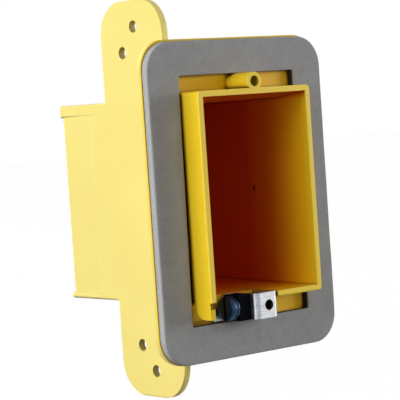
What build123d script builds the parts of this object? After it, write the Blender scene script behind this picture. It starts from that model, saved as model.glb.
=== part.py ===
"""Single-gang switch box with a vapour-seal flange, a foam gasket and a bonding clip.

Millimetres. X points right as seen from the room, Y into the wall, Z up. The origin is midway
between the two device screws, in the plane of the finished wall.
"""

import os

from build123d import *

# What the box is made to: wiring devices and the wall board
screw_spacing = 83.34
screw_hole_r = 2.0
screw_reach = 22.0
board_t = 12.7

# Moulded body: opening, walls and depth
opening_w = 50.8
opening_h = 74.0
wall = 2.2
box_depth = 84.8
rim_corner_r = 1.5
rim_edge_r = 0.5
rim_land = 2.0
top_step = 1.8
end_draft = 1.2
side_draft = 1.6
back_edge_r = 1.0

# Flange behind the wall board, and the foam gasket on it
flange_w = 86.0
flange_h = 119.6
flange_t = 2.4
flange_drop = 1.1
flange_corner_r = 11.2
gasket_t = 3.2
gasket_side_gap = 0.3
gasket_top_gap = 0.8
gasket_bottom_gap = 0.2
window_side_gap = 0.8
window_top_gap = 0.25
window_bottom_gap = 0.45

# Nailing ears in the plane of the left side
ear_w = 37.4
ear_reach = 75.0
ear_t = 2.8
ear_corner_r = 13.0
ear_setback = 22.0
nail_hole_r = 2.3
outer_nail_z = 65.1
outer_nail_setback = 20.3
inner_nail_z = 55.6
inner_nail_setback = 27.8
gusset_t = 2.0
gusset_reach = 12.0
gusset_rise = 20.0
gusset_spacing = 22.0

# Rear ledges over the cable entries, and the break line down the left side
ledge_proud = 0.4
ledge_overhang = 1.2
ledge_rise = 1.2
ledge_corner_r = 1.1
ledge_end_r = 0.5
top_ledge_h = 5.0
bottom_ledge_h = 2.5
break_from_back = 17.4
break_w = 2.6
break_depth = 0.3
entry_w = 18.0
entry_l = 15.0
entry_corner_r = 2.0
entry_groove_w = 0.8
entry_groove_depth = 1.4
entry_hinge_l = 3.75
entry_spacing = 24.0
entry_from_back = 12.5

# Round the device screws
boss_r = 3.4
post_r = 3.0
post_gap = 0.3
gate_mark_r = 1.1
gate_mark_sink = 0.3
gate_mark_y = 32.6

# Bonding clip, a bent steel strap round the lower device screw
clip_t = 1.0
clip_h = 9.6
clip_left = 6.6
clip_right = 4.5
clip_bend_r = 1.2
clip_foot = 11.0
clip_anchor = 8.0
clip_slack = 0.15
foot_chamfer_w = 6.0
foot_chamfer_h = 6.4
stake_r = 1.4
stake_from_bend = 5.0
stake_low = 2.6
notch_slack = 0.5
tongue_setback = 1.0
tongue_depth = 8.4
tongue_drop = 5.0
tongue_corner_r = 5.0
pocket_w = 1.7
pocket_h = 2.6
pocket_depth = 3.0
pocket_mid_z = -39.1

# Ground screw and the saddle that it clamps, crosswise left of the clip
saddle_t = 1.0
saddle_w = 8.0
saddle_depth = 5.8
thread_r = 2.35
thread_slack = 0.06
saddle_slack = 0.25
thread_end = 2.0
screw_setback = 6.8
washer_r = 4.6
washer_t = 1.0
neck_r = 4.2
neck_h = 0.3
head_r = 4.6
head_h = 2.4
head_edge_r = 0.6
slot_w = 1.2
slot_depth = 1.3

# Worked out
collar_w = opening_w + 2 * wall
collar_h = opening_h + 2 * wall
side_x = -collar_w / 2
inner_left = -opening_w / 2
flange_back = board_t + flange_t
boss_back = screw_reach + wall
rear_drop = top_step / 2
rear_w = collar_w - side_draft
rear_h = collar_h - top_step - 2 * end_draft
screw_z = screw_spacing / 2
gasket_w = flange_w - 2 * gasket_side_gap
gasket_h = flange_h - gasket_top_gap - gasket_bottom_gap
gasket_drop = flange_drop + (gasket_top_gap - gasket_bottom_gap) / 2
gasket_corner_r = flange_corner_r - gasket_bottom_gap
window_w = collar_w + 2 * window_side_gap
window_top = screw_z + boss_r + window_top_gap
window_bottom = -screw_z - clip_h / 2 - window_bottom_gap
ear_y = board_t + ear_setback + flange_t
nail_places = [
    (board_t + flange_t + outer_nail_setback, outer_nail_z),
    (board_t + flange_t + inner_nail_setback, inner_nail_z),
]
ledge_front = ear_y + ear_w / 2
ledge_back = box_depth + ledge_overhang
ledge_top = rear_h / 2 + ledge_rise - rear_drop
ledge_bottom = ledge_top - rear_h - 2 * ledge_rise
foot_end = -clip_left - clip_foot
clip_z = -screw_z
foot_front = board_t - clip_t
bore_x = -clip_left - saddle_depth


def facing(depth):
    """Plane parallel to the wall at that depth behind its surface, facing the room."""
    return Plane.XZ.offset(-depth)


# The moulded body: rear box, collar through the board, flange, ears and bosses in one piece
with BuildPart() as box_body:
    # Rear box, drafted on three sides and square on the side that lies on the stud;
    # its top is a step lower than the collar's
    with BuildSketch(facing(board_t)):
        with Locations((0, -rear_drop)):
            Rectangle(collar_w, collar_h - top_step)
    with BuildSketch(facing(box_depth)):
        with Locations((-side_draft / 2, -rear_drop)):
            Rectangle(rear_w, rear_h)
    loft()
    fillet(box_body.faces().sort_by(Axis.Y)[-1].edges(), back_edge_r)

    # Collar that stands through the board, with a softened rim
    with BuildSketch(facing(0)):
        RectangleRounded(collar_w, collar_h, rim_corner_r)
    extrude(amount=-flange_back)
    fillet(box_body.edges().group_by(Axis.Y)[0], rim_edge_r)

    with BuildSketch(facing(board_t)):
        with Locations((0, -flange_drop)):
            RectangleRounded(flange_w, flange_h, flange_corner_r)
    extrude(amount=-flange_t)

    # Both ears are one strap that the left side wall runs into
    with BuildSketch(Plane.YZ.offset(side_x)):
        with Locations((ear_y, 0)):
            RectangleRounded(ear_w, 2 * ear_reach, ear_corner_r)
        for nail_y, nail_z in nail_places:
            with Locations((nail_y, nail_z), (nail_y, -nail_z)):
                Circle(nail_hole_r, mode=Mode.SUBTRACT)
    extrude(amount=ear_t)

    # Gussets in the corner between each ear and the end wall
    for gusset_y in (ear_y - gusset_spacing / 2, ear_y + gusset_spacing / 2):
        with BuildSketch(facing(gusset_y)):
            for end in (-1, 1):
                root_z = end * (rear_h / 2 - wall / 2) - rear_drop
                tip_z = root_z + end * gusset_rise
                with BuildLine():
                    Polyline(
                        (side_x + wall / 2, root_z),
                        (side_x + ear_t + gusset_reach, root_z),
                        (side_x + ear_t, tip_z),
                        (side_x + wall / 2, tip_z),
                        close=True,
                    )
                make_face()
        extrude(amount=gusset_t / 2, both=True)

    # Ledges round the back of the end walls, over the cable entries; they widen to the back
    for ledge_mid, ledge_h in (
        (ledge_top - top_ledge_h / 2, top_ledge_h),
        (ledge_bottom + bottom_ledge_h / 2, bottom_ledge_h),
    ):
        with BuildSketch(facing(ledge_front)):
            with Locations((-side_draft / 2, ledge_mid)):
                RectangleRounded(rear_w, ledge_h, ledge_corner_r)
        with BuildSketch(facing(ledge_back)):
            with Locations((-side_draft / 2, ledge_mid)):
                RectangleRounded(rear_w + 2 * ledge_proud, ledge_h, ledge_corner_r)
        loft()
    fillet(box_body.faces().sort_by(Axis.Y)[-2:].edges(), ledge_end_r)

    # Bosses for the device screws: a round one above, a block behind the flange below
    with BuildSketch(facing(0)):
        with Locations((0, screw_z)):
            Circle(boss_r)
    extrude(amount=-boss_back)
    with BuildSketch(facing(board_t)):
        with Locations(((clip_right + wall - boss_r) / 2, clip_z)):
            Rectangle(clip_right + wall + boss_r, clip_h + 2 * wall)
    extrude(amount=board_t - boss_back)

    # Rounded tongue of the left wall, beside the ground screw
    with BuildSketch(Plane.YZ.offset(side_x)) as tongue:
        tongue_z = -(collar_h + tongue_drop - wall) / 2
        with Locations((tongue_setback + tongue_depth / 2, tongue_z)):
            Rectangle(tongue_depth, tongue_drop + wall)
        fillet(tongue.vertices().group_by(Axis.Y)[0].sort_by(Axis.X)[-1], tongue_corner_r)
    extrude(amount=wall)

    # Pocket for the wire's end, in the front edge where the rim runs into the tongue
    with BuildSketch(facing(0)):
        with Locations((inner_left - pocket_w / 2, pocket_mid_z)):
            Rectangle(pocket_w, pocket_h)
    extrude(amount=-pocket_depth, mode=Mode.SUBTRACT)

    # The hollow inside: its top slopes down to the lower rear box, which is drafted like its outside
    with BuildSketch(facing(0)):
        Rectangle(opening_w, opening_h)
    extrude(amount=-rim_land, mode=Mode.SUBTRACT)
    with BuildSketch(facing(rim_land)):
        Rectangle(opening_w, opening_h)
    with BuildSketch(facing(flange_back)):
        with Locations((0, -rear_drop)):
            Rectangle(opening_w, opening_h - top_step)
    loft(mode=Mode.SUBTRACT)
    with BuildSketch(facing(flange_back)):
        with Locations((0, -rear_drop)):
            Rectangle(opening_w, opening_h - top_step)
    with BuildSketch(facing(box_depth - wall)):
        with Locations((-side_draft / 2, -rear_drop)):
            Rectangle(opening_w - side_draft, rear_h - 2 * wall)
    loft(mode=Mode.SUBTRACT)

    # The lower edge of the collar is open where the clip and the ground screw sit
    with BuildSketch(facing(0)):
        notch_w = clip_right + notch_slack - inner_left
        with Locations((inner_left + notch_w / 2, -(opening_h + wall) / 2)):
            Rectangle(notch_w, 2 * wall)
    extrude(amount=-board_t, mode=Mode.SUBTRACT)

    # Post for the lower device screw, inside the clip
    with BuildSketch(facing(clip_t + post_gap)):
        with Locations((0, clip_z)):
            Circle(post_r)
    extrude(amount=clip_t + post_gap - board_t)

    # Blind screw holes, and the slot that holds the clip's straight leg
    with BuildSketch(facing(0)):
        with Locations((0, screw_z), (0, clip_z)):
            Circle(screw_hole_r)
    extrude(amount=-screw_reach, mode=Mode.SUBTRACT)
    with BuildSketch(facing(board_t)):
        with Locations((clip_right - clip_t / 2, clip_z)):
            Rectangle(clip_t + 2 * clip_slack, clip_h + 2 * clip_slack)
    extrude(amount=-clip_anchor, mode=Mode.SUBTRACT)

    # Stake that the clip's foot is pushed over
    with BuildSketch(facing(foot_front)):
        with Locations((-clip_left - stake_from_bend, clip_z - stake_low)):
            Circle(stake_r)
    extrude(amount=-clip_t - flange_t / 2)

    # Break line down the left side between the ledges, a shallow groove of V section
    break_top = ledge_top - top_ledge_h
    break_bottom = ledge_bottom + bottom_ledge_h
    break_y = box_depth - break_from_back
    with BuildSketch(Plane.XY.offset(break_bottom)):
        with BuildLine():
            Polyline(
                (side_x + break_depth, break_y),
                (side_x - break_depth, break_y - break_w),
                (side_x - break_depth, break_y + break_w),
                close=True,
            )
        make_face()
    extrude(amount=break_top - break_bottom, mode=Mode.SUBTRACT)

    # Cable entries in both end walls: flaps outlined by a groove that is open at the hinge
    for end, entry_z in ((-1, ledge_bottom), (1, ledge_top)):
        with BuildSketch(Plane.XY.offset(entry_z)):
            for entry_x in (-entry_spacing / 2, entry_spacing / 2):
                with Locations((entry_x - side_draft / 2, box_depth - entry_from_back)):
                    RectangleRounded(entry_w, entry_l, entry_corner_r)
                    RectangleRounded(
                        entry_w - 2 * entry_groove_w,
                        entry_l - 2 * entry_groove_w,
                        entry_corner_r - entry_groove_w,
                        mode=Mode.SUBTRACT,
                    )
                hinge_y = box_depth - entry_from_back - entry_l / 2
                with Locations((entry_x - side_draft / 2, hinge_y)):
                    Rectangle(entry_w - 2 * entry_corner_r, entry_hinge_l, mode=Mode.SUBTRACT)
        extrude(amount=-end * entry_groove_depth, mode=Mode.SUBTRACT)

    # Round gate mark inside the right wall
    with BuildSketch(Plane.YZ.offset(opening_w / 2 - side_draft)):
        with Locations((gate_mark_y, 0)):
            Circle(gate_mark_r)
    extrude(amount=side_draft + gate_mark_sink, mode=Mode.SUBTRACT)

# Closed-cell foam ring on the flange
with BuildPart() as gasket:
    with BuildSketch(facing(board_t - gasket_t)):
        with Locations((0, -gasket_drop)):
            RectangleRounded(gasket_w, gasket_h, gasket_corner_r)
        with Locations((0, (window_top + window_bottom) / 2)):
            Rectangle(window_w, window_top - window_bottom, mode=Mode.SUBTRACT)
    extrude(amount=-gasket_t)

# Clip: foot on the flange, leg to the front, face for the device screw, leg into the slot
with BuildPart() as bonding_clip:
    with BuildSketch(Plane.XY.offset(clip_z - clip_h / 2)):
        with BuildLine():
            FilletPolyline(
                (foot_end, board_t - clip_t / 2),
                (-clip_left + clip_t / 2, board_t - clip_t / 2),
                (-clip_left + clip_t / 2, clip_t / 2),
                (clip_right - clip_t / 2, clip_t / 2),
                (clip_right - clip_t / 2, board_t + clip_anchor),
                radius=clip_bend_r,
            )
        trace(line_width=clip_t)
    extrude(amount=clip_h)
    with BuildSketch(facing(0)):
        with Locations((0, clip_z)):
            Circle(screw_hole_r)
    extrude(amount=-clip_t, mode=Mode.SUBTRACT)
    with BuildSketch(Plane.YZ.offset(-clip_left)):
        with Locations((screw_setback, clip_z)):
            Circle(thread_r + thread_slack)
    extrude(amount=clip_t, mode=Mode.SUBTRACT)
    with BuildSketch(facing(foot_front)):
        with Locations((-clip_left - stake_from_bend, clip_z - stake_low)):
            Circle(stake_r + clip_slack)
        with BuildLine():
            Polyline(
                (foot_end, clip_z + clip_h / 2),
                (foot_end + foot_chamfer_w, clip_z + clip_h / 2),
                (foot_end, clip_z + clip_h / 2 - foot_chamfer_h),
                close=True,
            )
        make_face()
    extrude(amount=-clip_t, mode=Mode.SUBTRACT)

# Saddle: a channel that straddles the ground wire and is drawn against the clip's leg
with BuildPart() as wire_saddle:
    with BuildSketch(Plane.XY.offset(clip_z - clip_h / 2)):
        with Locations((-clip_left - saddle_depth / 2, screw_setback)):
            Rectangle(saddle_depth, saddle_w)
        with Locations((-clip_left - (saddle_depth - saddle_t) / 2, screw_setback)):
            Rectangle(saddle_depth - saddle_t, saddle_w - 2 * saddle_t, mode=Mode.SUBTRACT)
    extrude(amount=clip_h)
    with BuildSketch(Plane.YZ.offset(bore_x)):
        with Locations((screw_setback, clip_z)):
            Circle(thread_r + saddle_slack)
    extrude(amount=saddle_t, mode=Mode.SUBTRACT)

# Ground screw: slotted pan head over its captive washer, thread through the saddle and the leg
with BuildPart() as ground_screw:
    with BuildSketch(Plane.YZ.offset(bore_x)):
        with Locations((screw_setback, clip_z)):
            Circle(washer_r)
    extrude(amount=-washer_t)
    with BuildSketch(Plane.YZ.offset(bore_x - washer_t)):
        with Locations((screw_setback, clip_z)):
            Circle(neck_r)
    extrude(amount=-neck_h)
    with BuildSketch(Plane.YZ.offset(bore_x - washer_t - neck_h)):
        with Locations((screw_setback, clip_z)):
            Circle(head_r)
    extrude(amount=-head_h)
    fillet(ground_screw.faces().sort_by(Axis.X)[0].edges(), head_edge_r)
    with BuildSketch(Plane.YZ.offset(bore_x)):
        with Locations((screw_setback, clip_z)):
            Circle(thread_r)
    extrude(amount=saddle_depth + clip_t + thread_end)
    with BuildSketch(Plane.YZ.offset(bore_x - washer_t - neck_h - head_h)):
        with Locations((screw_setback, clip_z)):
            Rectangle(slot_w, 2 * (head_r + head_edge_r))
    extrude(amount=slot_depth, mode=Mode.SUBTRACT)

box_body.part.label = "box_body"
gasket.part.label = "gasket"
bonding_clip.part.label = "bonding_clip"
wire_saddle.part.label = "wire_saddle"
ground_screw.part.label = "ground_screw"

os.makedirs("parts", exist_ok=True)
export_step(box_body.part, "parts/box_body.step")
export_step(gasket.part, "parts/gasket.step")
export_step(bonding_clip.part, "parts/bonding_clip.step")
export_step(wire_saddle.part, "parts/wire_saddle.step")
export_step(ground_screw.part, "parts/ground_screw.step")
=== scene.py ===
"""Looks of a single-gang switch box with a foam gasket, a bonding clip and a ground screw.

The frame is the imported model's, in metres: X right as seen from the room, Y into the wall, Z up.
The numbers below are millimetres in that frame, except where a comment says otherwise.
"""

import math

import bmesh
import bpy
from mathutils import Matrix, Vector, noise


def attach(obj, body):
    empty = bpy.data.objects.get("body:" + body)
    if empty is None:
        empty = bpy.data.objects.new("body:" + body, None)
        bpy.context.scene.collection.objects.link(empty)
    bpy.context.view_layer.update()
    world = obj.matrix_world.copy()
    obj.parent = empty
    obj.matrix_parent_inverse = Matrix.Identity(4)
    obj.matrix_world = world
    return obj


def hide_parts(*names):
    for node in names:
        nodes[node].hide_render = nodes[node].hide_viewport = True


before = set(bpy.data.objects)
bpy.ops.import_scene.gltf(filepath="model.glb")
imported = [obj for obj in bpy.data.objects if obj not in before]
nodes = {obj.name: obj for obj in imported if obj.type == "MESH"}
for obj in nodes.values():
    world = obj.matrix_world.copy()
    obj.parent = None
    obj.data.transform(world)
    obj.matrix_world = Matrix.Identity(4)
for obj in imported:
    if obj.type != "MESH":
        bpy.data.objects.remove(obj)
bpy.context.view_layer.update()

MM = 0.001

# Places that repeat the solids'
BOARD_T = 12.7
GASKET_T = 3.2
SCREW_Z = -41.67
SCREW_Y = 6.8
BORE_X = -12.4
NAIL_PLACES = ((35.4, 65.1), (42.9, 55.6))

# Foam ring: outer outline and the hand-cut window, whose left side is not quite upright
FOAM_X = (-42.6, 42.7)
FOAM_Z = (-60.7, 57.9)
FOAM_CORNER_R = 11.0
WINDOW_TOP = (-28.0, 28.3, 45.1, 45.25)
WINDOW_BOTTOM = (-29.2, 28.6, -47.05, -46.95)
WINDOW_CORNER_R = 0.6
FOAM_EDGE_R = 0.55
FOAM_BAND = 14.5
FOAM_SWELL = (0.10, 0.16)
# Waves of the foam's face: features to the millimetre, share and seed
FOAM_WAVES = ((0.045, 1.0, 3.1), (0.19, 0.35, 8.4))
FOAM_RINGS = 12
EDGE_STEPS = 4
CORNER_POINTS = 14
SIDE_POINTS = 44

# Ground screw
THREAD_R = 2.35
THREAD_ROOT_R = 1.95
THREAD_PITCH = 0.794
THREAD_LENGTH = 8.8
THREAD_RUN_IN = 0.8
CREST_TOP = 1.25
CREST_FALL = 1.5
POINT_LENGTH = 1.0
POINT_SHARE = 0.82
RINGS_PER_PITCH = 10
WASHER_R = 4.6
WASHER_T = 1.0
NECK_R = 4.2
NECK_H = 0.3
HEAD_R = 4.6
HEAD_H = 2.4
SLOT_W = 1.2
SLOT_DEPTH = 1.3
ROUND_POINTS = 96

# Middle of the wall round the hollow, which narrows at the flange and then with the drafts
HOLLOW_X = 26.5
HOLLOW_Z = 38.1
HOLLOW_BACK = 83.7
RIM_LAND = 2.0
FLANGE_BACK = 15.1
TOP_SLOPE = 0.9
SIDE_DRAFT = 0.8
END_DRAFT = 1.2

# Inside of the box, where painted shade turns the plastic a deeper orange, sooner under the ceiling
CAVITY_FRONT = 1.5
CAVITY_DEEP = 36.0
CEILING_FROM = 34.0
CEILING_AT = 37.3
CEILING_ADDS = 40.0
RIM_EDGE = 0.7

# Outside of the box: a brighter yellow on the rim face as a painted highlight, and a paler yellow
# behind the wall board as a painted lit look
RIM_FULL = 0.3
PALER_OVER = 1.5

# Flange seen through the foam's window, painted a deeper orange as shade, with painted shadow beside
# the collar and under the tongue
FLANGE_SHADE = 0.5
FLANGE_HALF = 0.6
SEEN_HALF_X = 33.0
SEEN_Z = -0.9
SEEN_HALF_Z = 50.0
GAP_X = -29.2
GAP_HALF = 1.5
TONGUE_X = -21.5
TONGUE_HALF = 8.5
TONGUE_FOOT = -45.2

# Painted shadow at the root of the collar's left side
ROOT_SHADE = 0.85
ROOT_FADE = (8.2, 9.8)
ROOT_END = 12.6
ROOT_X = -27.5

# Holes whose walls get painted shade, each with how dark it is
UPPER_BORE_R = 2.02
UPPER_BORE_SHADE = 0.5
LOWER_BORE_R = 3.05
LOWER_BORE_SHADE = 0.97
NAIL_WALL_R = 2.36
NAIL_WALL_SHADE = 0.5
EAR_INNER_X = -24.0
POCKET_X = -26.8
POCKET_Z = -39.1
POCKET_HALF_X = 0.8
POCKET_HALF_Z = 1.25
POCKET_DEPTH = 3.2
POCKET_SHADE = 0.85

# Rear of the box, where faces that look up or down get painted shade
REAR_FADE = (55.8, 66.0)
UPWARD_SHADE = 0.2
DOWNWARD_SHADE = 0.6

# Region of the foam's window, whose cut sides are painted near black as shadow, and the step from its
# skin to its cut sides, behind its face
FOAM_WINDOW_X = 36.0
FOAM_WINDOW_Z = 52.0
SKIN_FADE = (0.35, 0.8)

# Bend at the left of the clip's face, darkened with painted shade
CLIP_BEND_X = -5.0
CLIP_BEND_HALF = 0.75
CLIP_BEND_DEPTH = 1.5

# Near black colour that shaded places are mixed with
SHADE = (0.004, 0.002, 0.0)

# Stage floor just under the lower ear, its grey, its white and how much of the white is seen
FLOOR_Z = -75.2
FLOOR_HALF = 3000
FLOOR_GREY = 0.15
FLOOR_WHITE = 1.155
FLOOR_SHARE = 0.85

# Middle of the part in metres, which the lamps face
LAMPS_FACE = Vector((0, 0.04, 0))

# Camera fitted to the photograph, its place in metres
CAMERA_AT = Vector((-0.43984, -0.49560, 0.03455))
CAMERA_AHEAD = Vector((0.6364, 0.7695, -0.0536)).normalized()
CAMERA_ROLL = math.radians(3.889)
FOCAL_PIXELS = 1787.38
PHOTO_PIXELS = 400
SENSOR = 36.0


def collection_link(obj):
    bpy.context.scene.collection.objects.link(obj)
    return obj


def mesh_object(name, points, faces, smooth=True):
    """Object from points in millimetres and faces."""
    mesh = bpy.data.meshes.new(name)
    mesh.from_pydata([tuple(c * MM for c in p) for p in points], [], faces)
    if smooth:
        mesh.shade_smooth()
    mesh.update()
    return collection_link(bpy.data.objects.new(name, mesh))


def fix_normals(obj):
    bm = bmesh.new()
    bm.from_mesh(obj.data)
    bmesh.ops.recalc_face_normals(bm, faces=bm.faces)
    bm.to_mesh(obj.data)
    bm.free()


def dress(obj, material):
    """Gives every slot of the object one material."""
    if not obj.data.materials:
        obj.data.materials.append(material)
    for slot in obj.material_slots:
        slot.material = material


class Nodes:
    """A material's node tree, with short calls for the nodes used here."""

    def __init__(self, name):
        self.material = bpy.data.materials.new(name)
        self.material.use_nodes = True
        self.tree = self.material.node_tree
        self.shader = self.tree.nodes["Principled BSDF"]
        self.place = self.add("ShaderNodeTexCoord").outputs["Object"]

    def add(self, kind, **settings):
        node = self.tree.nodes.new(kind)
        for key, value in settings.items():
            setattr(node, key, value)
        return node

    def link(self, source, target):
        self.tree.links.new(source, target)

    def put(self, value, socket):
        """Links another node's output to the socket, or sets a number or a colour on it."""
        if isinstance(value, bpy.types.NodeSocket):
            self.link(value, socket)
        elif isinstance(value, tuple):
            socket.default_value = (*value, 1)
        else:
            socket.default_value = value

    def noise(self, scale, detail=3.0, roughness=0.5, stretch=(1, 1, 1)):
        """Noise of that many features to the metre."""
        mapping = self.add("ShaderNodeMapping")
        mapping.inputs["Scale"].default_value = stretch
        self.link(self.place, mapping.inputs["Vector"])
        node = self.add("ShaderNodeTexNoise")
        node.inputs["Scale"].default_value = scale
        node.inputs["Detail"].default_value = detail
        node.inputs["Roughness"].default_value = roughness
        self.link(mapping.outputs["Vector"], node.inputs["Vector"])
        return node.outputs["Fac"]

    def cells(self, scale):
        """Distance from the middle of the nearest cell, with that many cells to the metre."""
        node = self.add("ShaderNodeTexVoronoi", feature="F1")
        node.inputs["Scale"].default_value = scale
        self.link(self.place, node.inputs["Vector"])
        return node.outputs["Distance"]

    def ramp(self, source, stops):
        """Colour ramp with stops of (place, colour)."""
        node = self.add("ShaderNodeValToRGB")
        elements = node.color_ramp.elements
        while len(elements) < len(stops):
            elements.new(0.5)
        for element, (at, colour) in zip(elements, stops):
            element.position = at
            element.color = (*colour, 1)
        self.link(source, node.inputs["Fac"])
        return node.outputs["Color"]

    def clouded(self, source, low, high):
        """Between two colours, by a noise."""
        return self.ramp(source, [(0.3, low), (0.7, high)])

    def spread(self, source, low, high, start=0.3, end=0.7):
        """A value between low and high, while the source goes from start to end."""
        node = self.add("ShaderNodeMapRange")
        for key, value in (("From Min", start), ("From Max", end), ("To Min", low), ("To Max", high)):
            node.inputs[key].default_value = value
        self.link(source, node.inputs["Value"])
        return node.outputs["Result"]

    def fade(self, source, start, end):
        """0 up to start and 1 from end on, both in millimetres."""
        return self.spread(source, 0.0, 1.0, start * MM, end * MM)

    def mix(self, first, second, share, blend="MIX"):
        """Colour between the first and the second, by a share or a mask."""
        node = self.add("ShaderNodeMix", data_type="RGBA", blend_type=blend)
        self.put(share, node.inputs["Factor"])
        self.put(first, node.inputs[6])
        self.put(second, node.inputs[7])
        return node.outputs[2]

    def math(self, operation, first, second=0.0):
        node = self.add("ShaderNodeMath", operation=operation)
        self.put(first, node.inputs[0])
        self.put(second, node.inputs[1])
        return node.outputs[0]

    def product(self, *values):
        result = values[0]
        for value in values[1:]:
            result = self.math("MULTIPLY", result, value)
        return result

    def largest(self, *values):
        result = values[0]
        for value in values[1:]:
            result = self.math("MAXIMUM", result, value)
        return result

    def axes(self, names="XYZ"):
        """The place on the object along each of the named axes, in metres."""
        node = self.add("ShaderNodeSeparateXYZ")
        self.link(self.place, node.inputs["Vector"])
        return [node.outputs[name] for name in names]

    def below(self, source, limit):
        """1 where the value is less than that many millimetres."""
        return self.math("LESS_THAN", source, limit * MM)

    def near(self, source, middle, half):
        """1 where the value is less than half from the middle, in millimetres."""
        offset = self.math("SUBTRACT", source, middle * MM)
        return self.below(self.math("ABSOLUTE", offset), half)

    def in_hollow(self):
        """1 on the hollow's own faces, 0 on the outside of its walls and on the rim."""
        x, y, z = self.axes()
        sloped = self.spread(y, 0.0, TOP_SLOPE * MM, RIM_LAND * MM, FLANGE_BACK * MM)
        along = self.fade(y, FLANGE_BACK, HOLLOW_BACK)
        drawn_in = self.math("MULTIPLY", along, SIDE_DRAFT * MM)
        lowered = self.math("ADD", sloped, self.math("MULTIPLY", along, END_DRAFT * MM))
        across = self.math("ABSOLUTE", self.math("ADD", x, drawn_in))
        upright = self.math("ABSOLUTE", self.math("ADD", z, sloped))
        in_x = self.math("LESS_THAN", across, self.math("SUBTRACT", HOLLOW_X * MM, drawn_in))
        in_z = self.math("LESS_THAN", upright, self.math("SUBTRACT", HOLLOW_Z * MM, lowered))
        behind_rim = self.math("GREATER_THAN", y, RIM_EDGE * MM)
        return self.product(self.below(y, HOLLOW_BACK), behind_rim, in_x, in_z)

    def cavity(self):
        """1 deep inside the device cavity, 0 at its mouth and outside it."""
        y, z = self.axes("YZ")
        ceiling = self.spread(z, 0.0, CEILING_ADDS * MM, CEILING_FROM * MM, CEILING_AT * MM)
        reached = self.math("ADD", y, ceiling)
        return self.product(self.fade(reached, CAVITY_FRONT, CAVITY_DEEP), self.in_hollow())

    def round_spot(self, across, upright, middle, radius):
        """1 within that radius of the middle, a pair of places in millimetres in a plane with Z."""
        flat = self.add("ShaderNodeCombineXYZ")
        self.link(across, flat.inputs["X"])
        self.link(upright, flat.inputs["Y"])
        node = self.add("ShaderNodeVectorMath", operation="DISTANCE")
        self.link(flat.outputs["Vector"], node.inputs[0])
        node.inputs[1].default_value = (middle[0] * MM, middle[1] * MM, 0)
        return self.below(node.outputs["Value"], radius)

    def recess(self, distance, darkest):
        """Painted shade from ambient occlusion: white in the open, down to darkest in tight corners
        of about that many millimetres.
        """
        node = self.add("ShaderNodeAmbientOcclusion", samples=12)
        node.inputs["Distance"].default_value = distance * MM
        return self.ramp(node.outputs["AO"], [(0.2, darkest), (0.75, (1, 1, 1))])

    def tilted(self):
        """How far a face looks up and how far it looks down, each from 0 to 1."""
        facing = self.add("ShaderNodeSeparateXYZ")
        self.link(self.add("ShaderNodeNewGeometry").outputs["Normal"], facing.inputs["Vector"])
        up = self.spread(facing.outputs["Z"], 0.0, 1.0, 0.25, 0.8)
        down = self.spread(facing.outputs["Z"], 1.0, 0.0, -0.7, -0.15)
        return up, down

    def bump(self, source, height, strength, under=None):
        """Bump of that height in metres, on top of another bump if one is given."""
        node = self.add("ShaderNodeBump")
        node.inputs["Strength"].default_value = strength
        node.inputs["Distance"].default_value = height
        self.link(source, node.inputs["Height"])
        if under is not None:
            self.link(under, node.inputs["Normal"])
        return node.outputs["Normal"]

    def set(self, **values):
        for key, value in values.items():
            self.put(value, self.shader.inputs[key.replace("_", " ")])


def outside_colour(n, flow):
    """Yellow of the outside, with painted light: a painted highlight on the rim, a paler painted lit
    look behind the board, a deeper orange painted shade on the flange in the foam's window, and
    painted shadow beside the collar, under the tongue and at the collar's root.
    """
    x, y, z = n.axes()
    front = n.clouded(flow, (0.83, 0.565, 0.014), (0.87, 0.605, 0.022))
    # Paler copy of the yellow for behind the board: a painted lit look
    rear = n.clouded(flow, (0.85, 0.71, 0.205), (0.89, 0.75, 0.225))
    # Brighter copy on the rim face: a painted highlight
    rim = n.clouded(flow, (0.97, 0.69, 0.065), (0.99, 0.72, 0.08))
    # Deeper orange on the flange in the window: painted shade
    flange = n.clouded(flow, (0.82, 0.47, 0.008), (0.86, 0.50, 0.012))
    # Dark red-brown at the collar's root: painted shadow
    root = n.clouded(flow, (0.16, 0.05, 0.0), (0.20, 0.065, 0.002))

    colour = n.mix(front, rear, n.fade(y, BOARD_T, BOARD_T + PALER_OVER))
    colour = n.mix(colour, rim, n.spread(y, 1.0, 0.0, RIM_FULL * MM, RIM_EDGE * MM))
    seen = n.product(n.near(x, 0.0, SEEN_HALF_X), n.near(z, SEEN_Z, SEEN_HALF_Z))
    at_flange = n.product(n.near(y, BOARD_T, FLANGE_HALF), seen)
    colour = n.mix(colour, flange, at_flange)
    under_tongue = n.product(n.below(z, TONGUE_FOOT), n.near(x, TONGUE_X, TONGUE_HALF))
    beside = n.largest(n.near(x, GAP_X, GAP_HALF), under_tongue)
    # Painted shadow on the flange beside the collar and under the tongue
    colour = n.mix(colour, SHADE, n.product(at_flange, beside, FLANGE_SHADE))
    # Painted shadow fading in along the collar's left side towards the foam
    root_shadow = n.spread(y, 0.0, ROOT_SHADE, ROOT_FADE[0] * MM, ROOT_FADE[1] * MM)
    root_shadow = n.product(root_shadow, n.below(y, ROOT_END), n.below(x, ROOT_X))
    return n.mix(colour, root, root_shadow)


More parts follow.
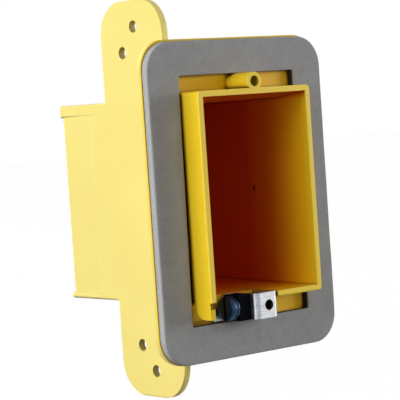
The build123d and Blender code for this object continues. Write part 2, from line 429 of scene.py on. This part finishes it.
def hole_shade(n):
    """How much painted shade darkens the walls of the bores, the nail holes and the pocket, from 0 to
    1.
    """
    x, y, z = n.axes()
    upper_bore = n.product(n.round_spot(x, z, (0, -SCREW_Z), UPPER_BORE_R), UPPER_BORE_SHADE)
    lower_bore = n.product(n.round_spot(x, z, (0, SCREW_Z), LOWER_BORE_R), LOWER_BORE_SHADE)
    height = n.math("ABSOLUTE", z)
    nail_holes = n.largest(*[n.round_spot(y, height, place, NAIL_WALL_R) for place in NAIL_PLACES])
    nail_holes = n.product(nail_holes, NAIL_WALL_SHADE, n.below(x, EAR_INNER_X))
    pocket_x = n.near(x, POCKET_X, POCKET_HALF_X)
    pocket_z = n.near(z, POCKET_Z, POCKET_HALF_Z)
    pocket = n.product(pocket_x, pocket_z, n.below(y, POCKET_DEPTH), POCKET_SHADE)
    return n.largest(upper_bore, lower_bore, pocket, nail_holes)


def rear_shade(n):
    """How much painted shade darkens the rear faces that look up or down, from 0 to 1."""
    (y,) = n.axes("Y")
    up, down = n.tilted()
    tilt = n.largest(n.product(up, UPWARD_SHADE), n.product(down, DOWNWARD_SHADE))
    return n.product(n.fade(y, *REAR_FADE), tilt)


def yellow_plastic():
    """Moulded yellow plastic: faint flow clouds, fine spark-eroded grain, painted shade that turns
    the inside a deeper orange and darkens corners, holes and the rear's tilted faces.
    """
    n = Nodes("yellow_plastic")
    flow = n.noise(34, 2.0, 0.5, (1, 0.5, 1))
    grain = n.noise(2600, 2.0)
    depth = n.cavity()
    # Painted shade inside the cavity: yellow at the mouth, deep red at the back
    inside = n.ramp(
        depth,
        [
            (0.0, (0.87, 0.52, 0.008)),
            (0.16, (0.88, 0.50, 0.008)),
            (0.48, (0.82, 0.31, 0.006)),
            (1.0, (0.66, 0.09, 0.003)),
        ],
    )
    colour = n.mix(outside_colour(n, flow), inside, n.spread(depth, 0.0, 1.0, 0.0, 0.08))
    # Painted shade in the bores, the nail holes and the pocket
    colour = n.mix(colour, SHADE, hole_shade(n))
    # Painted shade on rear faces that look up or down
    colour = n.mix(colour, SHADE, rear_shade(n))
    n.set(
        # Painted shade in corners and recesses, multiplied into the colour
        Base_Color=n.mix(colour, n.recess(2.2, (0.10, 0.035, 0.006)), 1.0, "MULTIPLY"),
        Roughness=n.spread(n.noise(220), 0.34, 0.46),
        Normal=n.bump(grain, 0.00003, 0.45, n.bump(flow, 0.00012, 0.3)),
        Specular_IOR_Level=0.2,
    )
    return n.material


def grey_foam():
    """Closed-cell foam: mottled grey skin, paler cut sides that are partly the foam's own tone and
    partly a painted lit look, and painted shadow, near black, on the cut sides of the window.
    """
    n = Nodes("grey_foam")
    cloud = n.noise(150, 4.0, 0.6)
    cell = n.cells(1900)
    pore = n.noise(1500, 2.0)
    mottled = n.clouded(cloud, (0.325, 0.325, 0.33), (0.36, 0.36, 0.365))
    speck = n.ramp(pore, [(0.3, (0.86, 0.86, 0.86)), (0.5, (1, 1, 1))])
    # Paler cut sides: partly the cut foam's own tone, partly a painted lit look
    cut = n.ramp(pore, [(0.3, (0.36, 0.355, 0.36)), (0.6, (0.47, 0.465, 0.465))])
    # Near black on the cut sides of the window: painted shadow
    window_shadow = n.ramp(pore, [(0.3, (0.018, 0.014, 0.010)), (0.6, (0.035, 0.028, 0.020))])
    skin = n.mix(mottled, speck, 1.0, "MULTIPLY")
    x, y, z = n.axes()
    front = BOARD_T - GASKET_T
    side = n.fade(y, front + SKIN_FADE[0], front + SKIN_FADE[1])
    window = n.product(n.near(x, 0.0, FOAM_WINDOW_X), n.near(z, 0.0, FOAM_WINDOW_Z))
    n.set(
        Base_Color=n.mix(skin, n.mix(cut, window_shadow, window), side),
        Roughness=0.92,
        Specular_IOR_Level=0.25,
        Normal=n.bump(cell, 0.00012, 0.5, n.bump(cloud, 0.0004, 0.3)),
    )
    return n.material


def plated_steel():
    """Zinc-plated sheet: rolling marks along the strap, soft blotches, and painted shade at one bend.
    """
    n = Nodes("plated_steel")
    rolled = n.noise(2400, 3.0, 0.6, (0.06, 0.06, 1))
    blotch = n.noise(420, 3.0)
    x, y = n.axes("XY")
    sheet = n.clouded(blotch, (0.40, 0.41, 0.43), (0.52, 0.525, 0.545))
    # Darker copy at the bend: painted shade
    bend_shade = n.clouded(blotch, (0.24, 0.255, 0.29), (0.31, 0.325, 0.36))
    bend = n.product(n.near(x, CLIP_BEND_X, CLIP_BEND_HALF), n.below(y, CLIP_BEND_DEPTH))
    n.set(
        Base_Color=n.mix(sheet, bend_shade, bend),
        Metallic=1.0,
        Roughness=n.spread(rolled, 0.24, 0.42),
        Normal=n.bump(rolled, 0.00002, 0.5, n.bump(blotch, 0.00006, 0.3)),
    )
    return n.material


def dark_metal(name, dark, light, gloss, tint):
    """Dark plated steel with small lighter spots."""
    n = Nodes(name)
    blotch = n.noise(700, 4.0, 0.6)
    n.set(
        Base_Color=n.ramp(blotch, [(0.3, dark), (0.75, light)]),
        Metallic=0.0,
        Specular_IOR_Level=gloss,
        Specular_Tint=tint,
        Roughness=n.spread(n.noise(1500), 0.25, 0.4),
        Normal=n.bump(blotch, 0.00005, 0.4),
    )
    return n.material


def rounded_loop(corners, radius):
    """Points (x, z) round a four-cornered outline with rounded corners, the same number on each.

    corners are given top left, top right, bottom right, bottom left.
    """
    middles = []
    for i, corner in enumerate(corners):
        here = Vector(corner)
        before = (Vector(corners[i - 1]) - here).normalized()
        after = (Vector(corners[(i + 1) % 4]) - here).normalized()
        middles.append((here + (before + after) * radius, before, after))
    loop = []
    for i, (middle, before, after) in enumerate(middles):
        for k in range(CORNER_POINTS):
            turn = math.pi / 2 * k / (CORNER_POINTS - 1)
            loop.append(middle - after * radius * math.cos(turn) - before * radius * math.sin(turn))
        following, _, next_after = middles[(i + 1) % 4]
        start = loop[-1]
        end = following - next_after * radius
        for k in range(1, SIDE_POINTS):
            loop.append(start.lerp(end, k / SIDE_POINTS))
    return loop


def foam_gasket():
    """Die-cut ring of closed-cell foam, with soft edges and a face that is not quite flat."""
    left, right = FOAM_X
    low, high = FOAM_Z
    outer = rounded_loop([(left, high), (right, high), (right, low), (left, low)], FOAM_CORNER_R)
    top_left, top_right, z_left, z_right = WINDOW_TOP
    low_left, low_right, low_z_left, low_z_right = WINDOW_BOTTOM
    inner = rounded_loop(
        [(top_left, z_left), (top_right, z_right), (low_right, low_z_right), (low_left, low_z_left)],
        WINDOW_CORNER_R,
    )
    back = BOARD_T
    front = BOARD_T - GASKET_T
    around = len(outer)
    rings = []

    def ring(share, y, wavy):
        points = []
        for a, b in zip(outer, inner):
            p = a.lerp(b, share)
            swell = 0.0
            for scale, part, seed in FOAM_WAVES:
                swell += part * noise.noise(Vector((p.x * scale, p.y * scale, seed)))
            points.append((p.x, y + wavy * (FOAM_SWELL[0] + FOAM_SWELL[1] * swell), p.y))
        rings.append(points)

    ring(0.0, back, 0)
    ring(0.0, (back + front) / 2, 0)
    for k in range(EDGE_STEPS + 1):
        turn = math.pi / 2 * k / EDGE_STEPS
        inset = FOAM_EDGE_R * (1 - math.cos(turn)) / FOAM_BAND
        ring(inset, front + FOAM_EDGE_R * (1 - math.sin(turn)), math.sin(turn))
    edge = FOAM_EDGE_R / FOAM_BAND
    for k in range(1, FOAM_RINGS):
        ring(edge + (1 - 2 * edge) * k / FOAM_RINGS, front, 1)
    for k in range(EDGE_STEPS + 1):
        turn = math.pi / 2 * (1 - k / EDGE_STEPS)
        inset = FOAM_EDGE_R * (1 - math.cos(turn)) / FOAM_BAND
        ring(1 - inset, front + FOAM_EDGE_R * (1 - math.sin(turn)), math.sin(turn))
    ring(1.0, (back + front) / 2, 0)
    ring(1.0, back, 0)

    points = [p for one in rings for p in one]
    faces = []
    count = len(rings)
    for i in range(count):
        a, b = i * around, (i + 1) % count * around
        for j in range(around):
            k = (j + 1) % around
            faces.append((a + j, a + k, b + k, b + j))
    obj = mesh_object("foam_gasket", points, faces)
    fix_normals(obj)
    return obj


def around_screw(rings):
    """Points and faces of a capped solid about the screw's axis.

    Each ring is an x with a radius, which is a number or a function of the angle.
    """
    points = []
    for x, radius in rings:
        for j in range(ROUND_POINTS):
            angle = 2 * math.pi * j / ROUND_POINTS
            r = radius(angle) if callable(radius) else radius
            points.append((x, SCREW_Y + r * math.cos(angle), SCREW_Z + r * math.sin(angle)))
    faces = []
    for i in range(len(rings) - 1):
        for j in range(ROUND_POINTS):
            k = (j + 1) % ROUND_POINTS
            a, b = i * ROUND_POINTS, (i + 1) * ROUND_POINTS
            faces.append((a + j, a + k, b + k, b + j))
    faces.append(tuple(range(ROUND_POINTS)))
    last = (len(rings) - 1) * ROUND_POINTS
    faces.append(tuple(last + j for j in reversed(range(ROUND_POINTS))))
    return points, faces


def screw_head():
    """Pan head with a faintly domed face, over its captive washer, slotted."""
    washer = BORE_X - WASHER_T
    under = washer - NECK_H
    top = under - HEAD_H
    rings = [
        (top, 0.5),
        (top + 0.01, 2.0),
        (top + 0.05, 3.3),
        (top + 0.12, 3.9),
        (top + 0.24, 4.22),
        (top + 0.42, 4.44),
        (top + 0.68, 4.56),
        (top + 1.0, HEAD_R),
        (under - 0.3, HEAD_R),
        (under - 0.12, HEAD_R - 0.05),
        (under, HEAD_R - 0.2),
        (under + 0.02, NECK_R),
        (washer - 0.02, NECK_R),
        (washer, WASHER_R - 0.18),
        (washer + 0.08, WASHER_R - 0.05),
        (washer + 0.2, WASHER_R),
        (BORE_X - 0.2, WASHER_R),
        (BORE_X - 0.08, WASHER_R - 0.05),
        (BORE_X, WASHER_R - 0.2),
    ]
    points, faces = around_screw(rings)
    head = mesh_object("ground_screw_head", points, faces)
    fix_normals(head)

    half = SLOT_W / 2
    reach = WASHER_R + 1
    corners = [
        (x, SCREW_Y + y, SCREW_Z + z)
        for x in (top - 1, top + SLOT_DEPTH)
        for y, z in ((-half, -reach), (half, -reach), (half, reach), (-half, reach))
    ]
    sides = [(0, 1, 2, 3), (7, 6, 5, 4), (0, 4, 5, 1), (1, 5, 6, 2), (2, 6, 7, 3), (3, 7, 4, 0)]
    cutter = mesh_object("slot_cutter", corners, sides, smooth=False)
    fix_normals(cutter)
    cut = head.modifiers.new("slot", "BOOLEAN")
    cut.operation = "DIFFERENCE"
    cut.solver = "EXACT"
    cut.object = cutter
    graph = bpy.context.evaluated_depsgraph_get()
    slotted = bpy.data.meshes.new_from_object(head.evaluated_get(graph))
    head.modifiers.clear()
    head.data = slotted
    bpy.data.objects.remove(cutter)
    return head


def screw_thread():
    """Shank with a rolled thread and a plain point."""
    steps = int(THREAD_LENGTH / THREAD_PITCH * RINGS_PER_PITCH)
    depth = THREAD_R - THREAD_ROOT_R

    def radius_at(along):
        def radius(angle):
            phase = (along / THREAD_PITCH - angle / (2 * math.pi)) % 1.0
            crest = min(1.0, max(0.0, CREST_TOP - abs(2 * phase - 1) * CREST_FALL))
            taper = min(1.0, (THREAD_LENGTH - along) / POINT_LENGTH)
            run_in = min(1.0, along / THREAD_RUN_IN)
            root = THREAD_ROOT_R * (POINT_SHARE + (1 - POINT_SHARE) * taper)
            return root + depth * crest * taper * run_in

        return radius

    places = [THREAD_LENGTH * k / steps for k in range(steps + 1)]
    points, faces = around_screw([(BORE_X + along, radius_at(along)) for along in places])
    obj = mesh_object("ground_screw_thread", points, faces)
    fix_normals(obj)
    return obj


def smooth_by_angle(obj, degrees):
    """Smooth shading that stays sharp at edges over that angle."""
    mesh = obj.data
    bm = bmesh.new()
    bm.from_mesh(mesh)
    for face in bm.faces:
        face.smooth = True
    limit = math.radians(degrees)
    for edge in bm.edges:
        edge.smooth = len(edge.link_faces) == 2 and edge.calc_face_angle(0) < limit
    bm.to_mesh(mesh)
    bm.free()


def soften(obj, width, degrees):
    """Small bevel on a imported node's sharp edges; its mesh stays as it is."""
    weld = obj.modifiers.new("weld", "WELD")
    weld.merge_threshold = 1e-6
    bevel = obj.modifiers.new("bevel", "BEVEL")
    bevel.width = width * MM
    bevel.segments = 2
    bevel.limit_method = "ANGLE"
    bevel.angle_limit = math.radians(degrees)
    bevel.harden_normals = True


def white_to_lens(tree):
    """1 for rays that show the background: from the camera, off gloss and through glass."""
    path = tree.nodes.new("ShaderNodeLightPath")
    first = tree.nodes.new("ShaderNodeMath")
    first.operation = "MAXIMUM"
    second = tree.nodes.new("ShaderNodeMath")
    second.operation = "MAXIMUM"
    tree.links.new(path.outputs["Is Camera Ray"], first.inputs[0])
    tree.links.new(path.outputs["Is Glossy Ray"], first.inputs[1])
    tree.links.new(first.outputs[0], second.inputs[0])
    tree.links.new(path.outputs["Is Transmission Ray"], second.inputs[1])
    return second.outputs[0]


def stage_floor():
    """Pale floor just under the lower ear, white to the camera but for a faint shadow."""
    corners = ((-1, -1), (1, -1), (1, 1), (-1, 1))
    floor = mesh_object(
        "stage_floor",
        [(FLOOR_HALF * x, FLOOR_HALF * y, FLOOR_Z) for x, y in corners],
        [(0, 1, 2, 3)],
        smooth=False,
    )
    material = bpy.data.materials.new("pale_floor")
    material.use_nodes = True
    tree = material.node_tree
    tree.nodes.clear()
    output = tree.nodes.new("ShaderNodeOutputMaterial")
    plain = tree.nodes.new("ShaderNodeBsdfDiffuse")
    plain.inputs["Color"].default_value = (FLOOR_GREY, FLOOR_GREY, FLOOR_GREY, 1)
    white = tree.nodes.new("ShaderNodeEmission")
    white.inputs["Strength"].default_value = FLOOR_WHITE
    share = tree.nodes.new("ShaderNodeMath")
    share.operation = "MULTIPLY"
    share.inputs[1].default_value = FLOOR_SHARE
    mix = tree.nodes.new("ShaderNodeMixShader")
    seen = white_to_lens(tree)
    tree.links.new(seen, share.inputs[0])
    tree.links.new(share.outputs[0], mix.inputs["Fac"])
    tree.links.new(plain.outputs[0], mix.inputs[1])
    tree.links.new(white.outputs[0], mix.inputs[2])
    tree.links.new(mix.outputs[0], output.inputs["Surface"])
    dress(floor, material)


def light_world(strength):
    """White background, and a weaker even light on the object."""
    world = bpy.data.worlds.new("studio")
    bpy.context.scene.world = world
    world.use_nodes = True
    tree = world.node_tree
    tree.nodes.clear()
    output = tree.nodes.new("ShaderNodeOutputWorld")
    background = tree.nodes.new("ShaderNodeBackground")
    background.inputs["Color"].default_value = (1, 1, 1, 1)
    level = tree.nodes.new("ShaderNodeMapRange")
    level.inputs["To Min"].default_value = strength
    level.inputs["To Max"].default_value = 1.0
    tree.links.new(white_to_lens(tree), level.inputs["Value"])
    tree.links.new(level.outputs["Result"], background.inputs["Strength"])
    tree.links.new(background.outputs["Background"], output.inputs["Surface"])


def softbox(name, azimuth, elevation, distance, size, watts):
    """Square area lamp that faces the object, with its distance and its size in metres.

    Azimuth 0 is in front of the object, and 90 on its right.
    """
    data = bpy.data.lights.new(name, "AREA")
    data.shape = "SQUARE"
    data.size = size
    data.energy = watts
    lamp = collection_link(bpy.data.objects.new(name, data))
    a, e = math.radians(azimuth), math.radians(elevation)
    out = Vector((math.sin(a) * math.cos(e), -math.cos(a) * math.cos(e), math.sin(e)))
    lamp.location = LAMPS_FACE + out * distance
    lamp.rotation_mode = "QUATERNION"
    lamp.rotation_quaternion = (-out).to_track_quat("-Z", "Y")


def photo_camera():
    """Camera that sees the object as the photograph does."""
    data = bpy.data.cameras.new("camera")
    data.sensor_width = SENSOR
    data.lens = FOCAL_PIXELS / PHOTO_PIXELS * SENSOR
    data.clip_start = 0.01
    data.clip_end = 50
    camera = collection_link(bpy.data.objects.new("camera", data))
    level = CAMERA_AHEAD.cross(Vector((0, 0, 1))).normalized()
    down = CAMERA_AHEAD.cross(level)
    right = level * math.cos(CAMERA_ROLL) + down * math.sin(CAMERA_ROLL)
    lower = CAMERA_AHEAD.cross(right)
    turn = Matrix((right, -lower, -CAMERA_AHEAD)).transposed().to_4x4()
    camera.matrix_world = Matrix.Translation(CAMERA_AT) @ turn
    bpy.context.scene.camera = camera


# Pieces
plastic = yellow_plastic()
steel = plated_steel()
dark_sheet = dark_metal(
    "dark_steel", (0.0008, 0.0012, 0.003), (0.0015, 0.003, 0.006), gloss=0.02, tint=(0.8, 0.9, 1.0)
)
green_black = dark_metal(
    "green_steel", (0.001, 0.006, 0.028), (0.006, 0.024, 0.070), gloss=0.6, tint=(0.25, 0.6, 1.0)
)

dress(nodes["box_body"], plastic)
soften(nodes["box_body"], width=0.25, degrees=35)
dress(nodes["bonding_clip"], steel)
dress(nodes["wire_saddle"], dark_sheet)

gasket = foam_gasket()
dress(gasket, grey_foam())
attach(gasket, "root")
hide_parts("gasket")

head = screw_head()
smooth_by_angle(head, degrees=28)
dress(head, green_black)
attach(head, "root")
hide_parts("ground_screw")

thread = screw_thread()
dress(thread, green_black)
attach(thread, "root")
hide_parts("ground_screw")

# Stage, lamps and camera
stage_floor()
light_world(0.08)
softbox("side", -92, 15, 0.9, 0.95, 12.2)
softbox("behind", 175, 20, 1.1, 0.8, 5.0)
softbox("right", 63, 4, 1.1, 0.5, 7.4)
softbox("front", 10, 8, 1.6, 0.9, 6.7)
photo_camera()
bpy.context.scene.view_settings.view_transform = "Standard"
